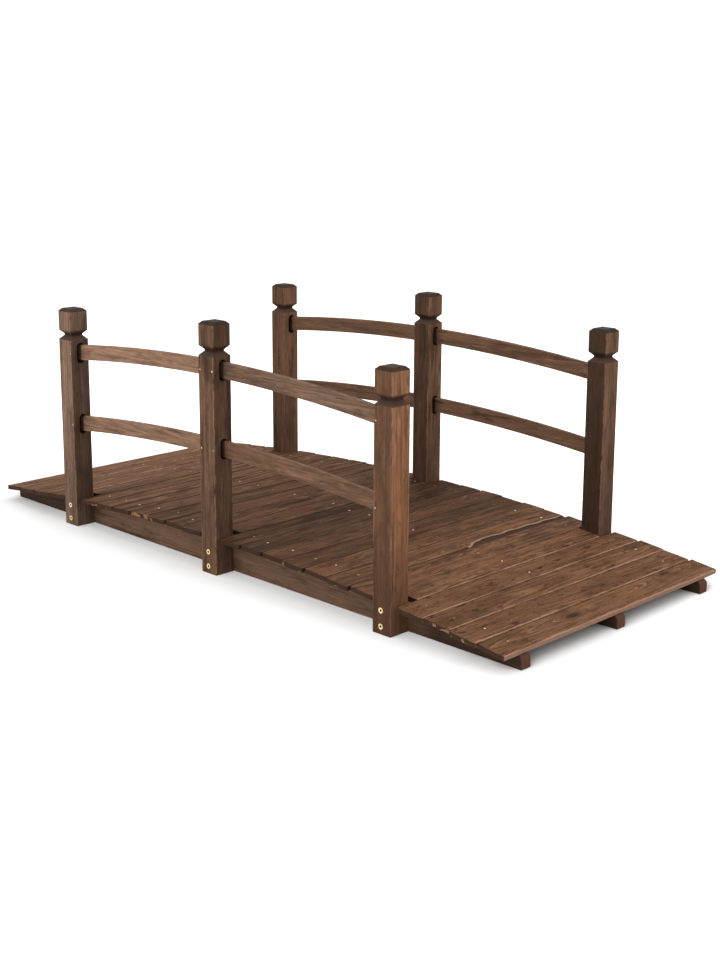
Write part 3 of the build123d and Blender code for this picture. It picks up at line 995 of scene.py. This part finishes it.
# %% Turn a head and join many to one piece


def turned(outline, steps):
    """Spins half an outline of (radius, height) pairs round the Z axis into a closed shape."""
    mesh = bmesh.new()
    points = [mesh.verts.new((radius, 0, height)) for radius, height in outline]
    edges = [mesh.edges.new(pair) for pair in zip(points, points[1:])]
    bmesh.ops.spin(mesh, geom=points + edges, cent=(0, 0, 0), axis=(0, 0, 1), angle=2 * math.pi, steps=steps,
                   use_merge=True)
    bmesh.ops.remove_doubles(mesh, verts=mesh.verts, dist=1e-6)
    bmesh.ops.recalc_face_normals(mesh, faces=mesh.faces)
    return mesh


def joined(name, shape, places, smooth=True):
    """One object from many copies of a shape, one at each place."""
    whole = bmesh.new()
    single = bpy.data.meshes.new(name + "_single")
    shape.to_mesh(single)
    for place in places:
        before = len(whole.verts)
        whole.from_mesh(single)
        whole.verts.ensure_lookup_table()
        bmesh.ops.transform(whole, verts=whole.verts[before:], matrix=place)
    for face in whole.faces:
        face.smooth = smooth
    piece = bpy.data.objects.new(name, bpy.data.meshes.new(name))
    whole.to_mesh(piece.data)
    whole.free()
    bpy.data.meshes.remove(single)
    bpy.context.scene.collection.objects.link(piece)
    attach(piece, "root")
    return piece


NAIL_OUTLINE = [(0, 0.70), (1.2, 0.64), (1.85, 0.46), (2.05, 0.22), (1.95, 0.0), (0, 0.0)]
nail_head = turned([(radius * MM, height * MM) for radius, height in NAIL_OUTLINE], 12)
print("nail head", len(nail_head.faces), "faces")

# %% [markdown]
# ### Metal
#
# The heads are small, so a photograph shows little more of them than how bright each is.  A noise makes
# the metal uneven and a second, finer one scratches it.  A Voronoi pattern with cells wider than a head
# then gives each fastener its own luck: some keep their gleam and some are dulled by stain.

# %% Write the recipe for a metal
STAINED_METAL = (0.070, 0.036, 0.020, 1)
SCRATCHES = (3000, 3000, 400)
CELLS_PER_METRE = 22.0


def metal(name, colour, dark, spots_per_metre, rough, dulled=0.0):
    """A metal that is brushed unevenly.  Dulled is how far the unluckiest fastener is stained."""
    material = bpy.data.materials.new(name)
    material.use_nodes = True
    tree = material.node_tree
    coords = add(tree, "ShaderNodeTexCoord").outputs["Object"]
    spots = add(tree, "ShaderNodeTexNoise", {"Vector": coords, "Scale": spots_per_metre, "Detail": 3.0}).outputs[0]
    scratches = grained_noise(tree, coords, SCRATCHES, 2)
    cells = add(tree, "ShaderNodeTexVoronoi", {"Vector": coords, "Scale": CELLS_PER_METRE, "Randomness": 0.6})
    luck = add(tree, "ShaderNodeSeparateColor", {0: cells.outputs["Color"]}).outputs[0]
    tint = mix(tree, fade(tree, spots, 0.40, 0.62), (*dark, 1), (*colour, 1))
    tint = mix(tree, fade(tree, luck, 0.75, 0.25, 0.0, dulled), tint, STAINED_METAL)
    shader = tree.nodes["Principled BSDF"].inputs
    tree.links.new(tint, shader["Base Color"])
    tree.links.new(sums(tree, "MULTIPLY_ADD", spots, -0.25, rough + 0.12), shader["Roughness"])
    shader["Metallic"].default_value = 1.0
    bump = add(tree, "ShaderNodeBump", {"Strength": 0.3, "Distance": 0.1 * MM, "Height": scratches})
    tree.links.new(bump.outputs[0], shader["Normal"])
    return material


nails_in_deck = joined("deck_nails", nail_head, deck_nails)
wear_it(nails_in_deck, metal("nail_steel", (0.84, 0.66, 0.46), (0.44, 0.31, 0.20), 700, 0.40, dulled=0.90))
print("deck nails", len(deck_nails), "with", len(nails_in_deck.data.polygons), "faces")

# %% [markdown]
# ### Rail nails
#
# A nail goes through the outer face of a post into the middle of each rail end.  The rail's arc gives
# its height, and the head sits in the small pit that the CAD post has there.

# %% Nail the rails into the posts
POST_STEP = 0.480
NAIL_OFF = 18 * MM
PIT_DEPTH = 0.9 * MM
RAIL_NAIL_SIZE = 1.15


def onto_outer_face(x, z, row, depth):
    """A place on a post's outer face, sunk by a depth, with Z pointing outwards."""
    low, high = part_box(f"post_{row}_middle")
    y = low[1] + depth if row == "front" else high[1] - depth
    turn = Matrix.Rotation(math.radians(90 if row == "front" else -90), 4, "X")
    return Matrix.Translation((x, y, z)) @ turn


rail_nails = []
for name, (centre_z, outer) in rail_arcs.items():
    row = "front" if "front" in name else "back"
    side = -1 if "left" in name else 1
    for x in (side * NAIL_OFF, side * (POST_STEP - NAIL_OFF)):
        z = centre_z + math.sqrt((outer - RAIL_HALF_DEPTH) ** 2 - x**2)
        rail_nails.append(onto_outer_face(x, z, row, PIT_DEPTH) @ Matrix.Scale(RAIL_NAIL_SIZE, 4))
nails_in_posts = joined("rail_nails", nail_head, rail_nails)
wear_it(nails_in_posts, metal("rail_nail_steel", (0.86, 0.64, 0.46), (0.50, 0.34, 0.22), 700, 0.38, dulled=0.5))
print("rail nails", len(rail_nails))

# %% [markdown]
# ## Bolts
#
# Two brass bolts go through the foot of each post into the stringer behind it.  Their heads are
# flat rings with a hexagon socket.  A lathe can't make the socket, so the head is built of rings: circles
# of 24 points and a hexagon that is cut into 24 as well, joined one to the next with bridges.

# %% Make a bolt head
RING_POINTS = 24
SOCKET_RADIUS = 2.25
BOLT_PROFILE = [(5.60, 0.0, 24), (5.60, 1.0, 24), (5.35, 1.35, 24), (4.9, 1.5, 24), (3.3, 1.42, 24),
                (2.45, 1.20, 24), (SOCKET_RADIUS, 1.10, 6), (SOCKET_RADIUS, 0.15, 6)]


def ring_of(radius, height, corners):
    """A closed ring of 24 points at a height, as a circle or as a hexagon."""
    ring = bmesh.new()
    bmesh.ops.create_circle(ring, cap_ends=False, radius=radius, segments=corners)
    if corners < RING_POINTS:
        bmesh.ops.subdivide_edges(ring, edges=ring.edges[:], cuts=RING_POINTS // corners - 1)
    bmesh.ops.translate(ring, verts=ring.verts, vec=(0, 0, height))
    mesh = bpy.data.meshes.new("ring")
    ring.to_mesh(mesh)
    ring.free()
    return mesh


def bolt_head():
    """A low round head with a hexagon socket, whose inside is the second material, a painted shade."""
    whole = bmesh.new()
    loops = []
    for radius, height, corners in BOLT_PROFILE:
        mesh = ring_of(radius * MM, height * MM, corners)
        before = len(whole.edges)
        whole.from_mesh(mesh)
        bpy.data.meshes.remove(mesh)
        whole.edges.ensure_lookup_table()
        loops.append(whole.edges[before:])
    for first, second in zip(loops, loops[1:]):
        bmesh.ops.bridge_loops(whole, edges=first + second)
    bmesh.ops.contextual_create(whole, geom=loops[-1])
    bmesh.ops.recalc_face_normals(whole, faces=whole.faces)
    for face in whole.faces:
        middle = face.calc_center_median()
        face.material_index = 1 if middle.xy.length < (SOCKET_RADIUS + 0.05) * MM and middle.z > 0 else 0
    return whole


head = bolt_head()
print("bolt head", len(head.faces), "faces")

# %% [markdown]
# ### Driving the bolts
#
# One bolt sits above the other in the recesses of a post's foot, a little off its middle line.  Each
# head is turned a bit further than the one before, because a wrench never stops twice the same way.

# %% Drive the bolts
BOLT_RECESS = 1.6 * MM
BOLT_OFF = 2.5 * MM
BOLT_HEIGHTS = (0.014, 0.044)
TURN_BETWEEN_BOLTS = 0.7
bolt_places = []
for row, side in (("front", -1), ("back", 1)):
    for x in (-POST_STEP, 0, POST_STEP):
        for z in BOLT_HEIGHTS:
            spin = Matrix.Rotation(TURN_BETWEEN_BOLTS * len(bolt_places), 4, "Z")
            bolt_places.append(onto_outer_face(x + side * BOLT_OFF, z, row, BOLT_RECESS) @ spin)
bolts = joined("post_bolts", head, bolt_places, smooth=False)
bolts.data.materials.append(metal("bolt_brass", (1.00, 0.82, 0.46), (0.82, 0.60, 0.27), 260, 0.30))
# The socket's inside is a dark metal that paints the shade in the hole.
bolts.data.materials.append(metal("socket_painted_shade", (0.110, 0.066, 0.026), (0.040, 0.024, 0.010), 600, 0.60))
print("bolts", len(bolt_places), "with", len(bolts.data.polygons), "faces")
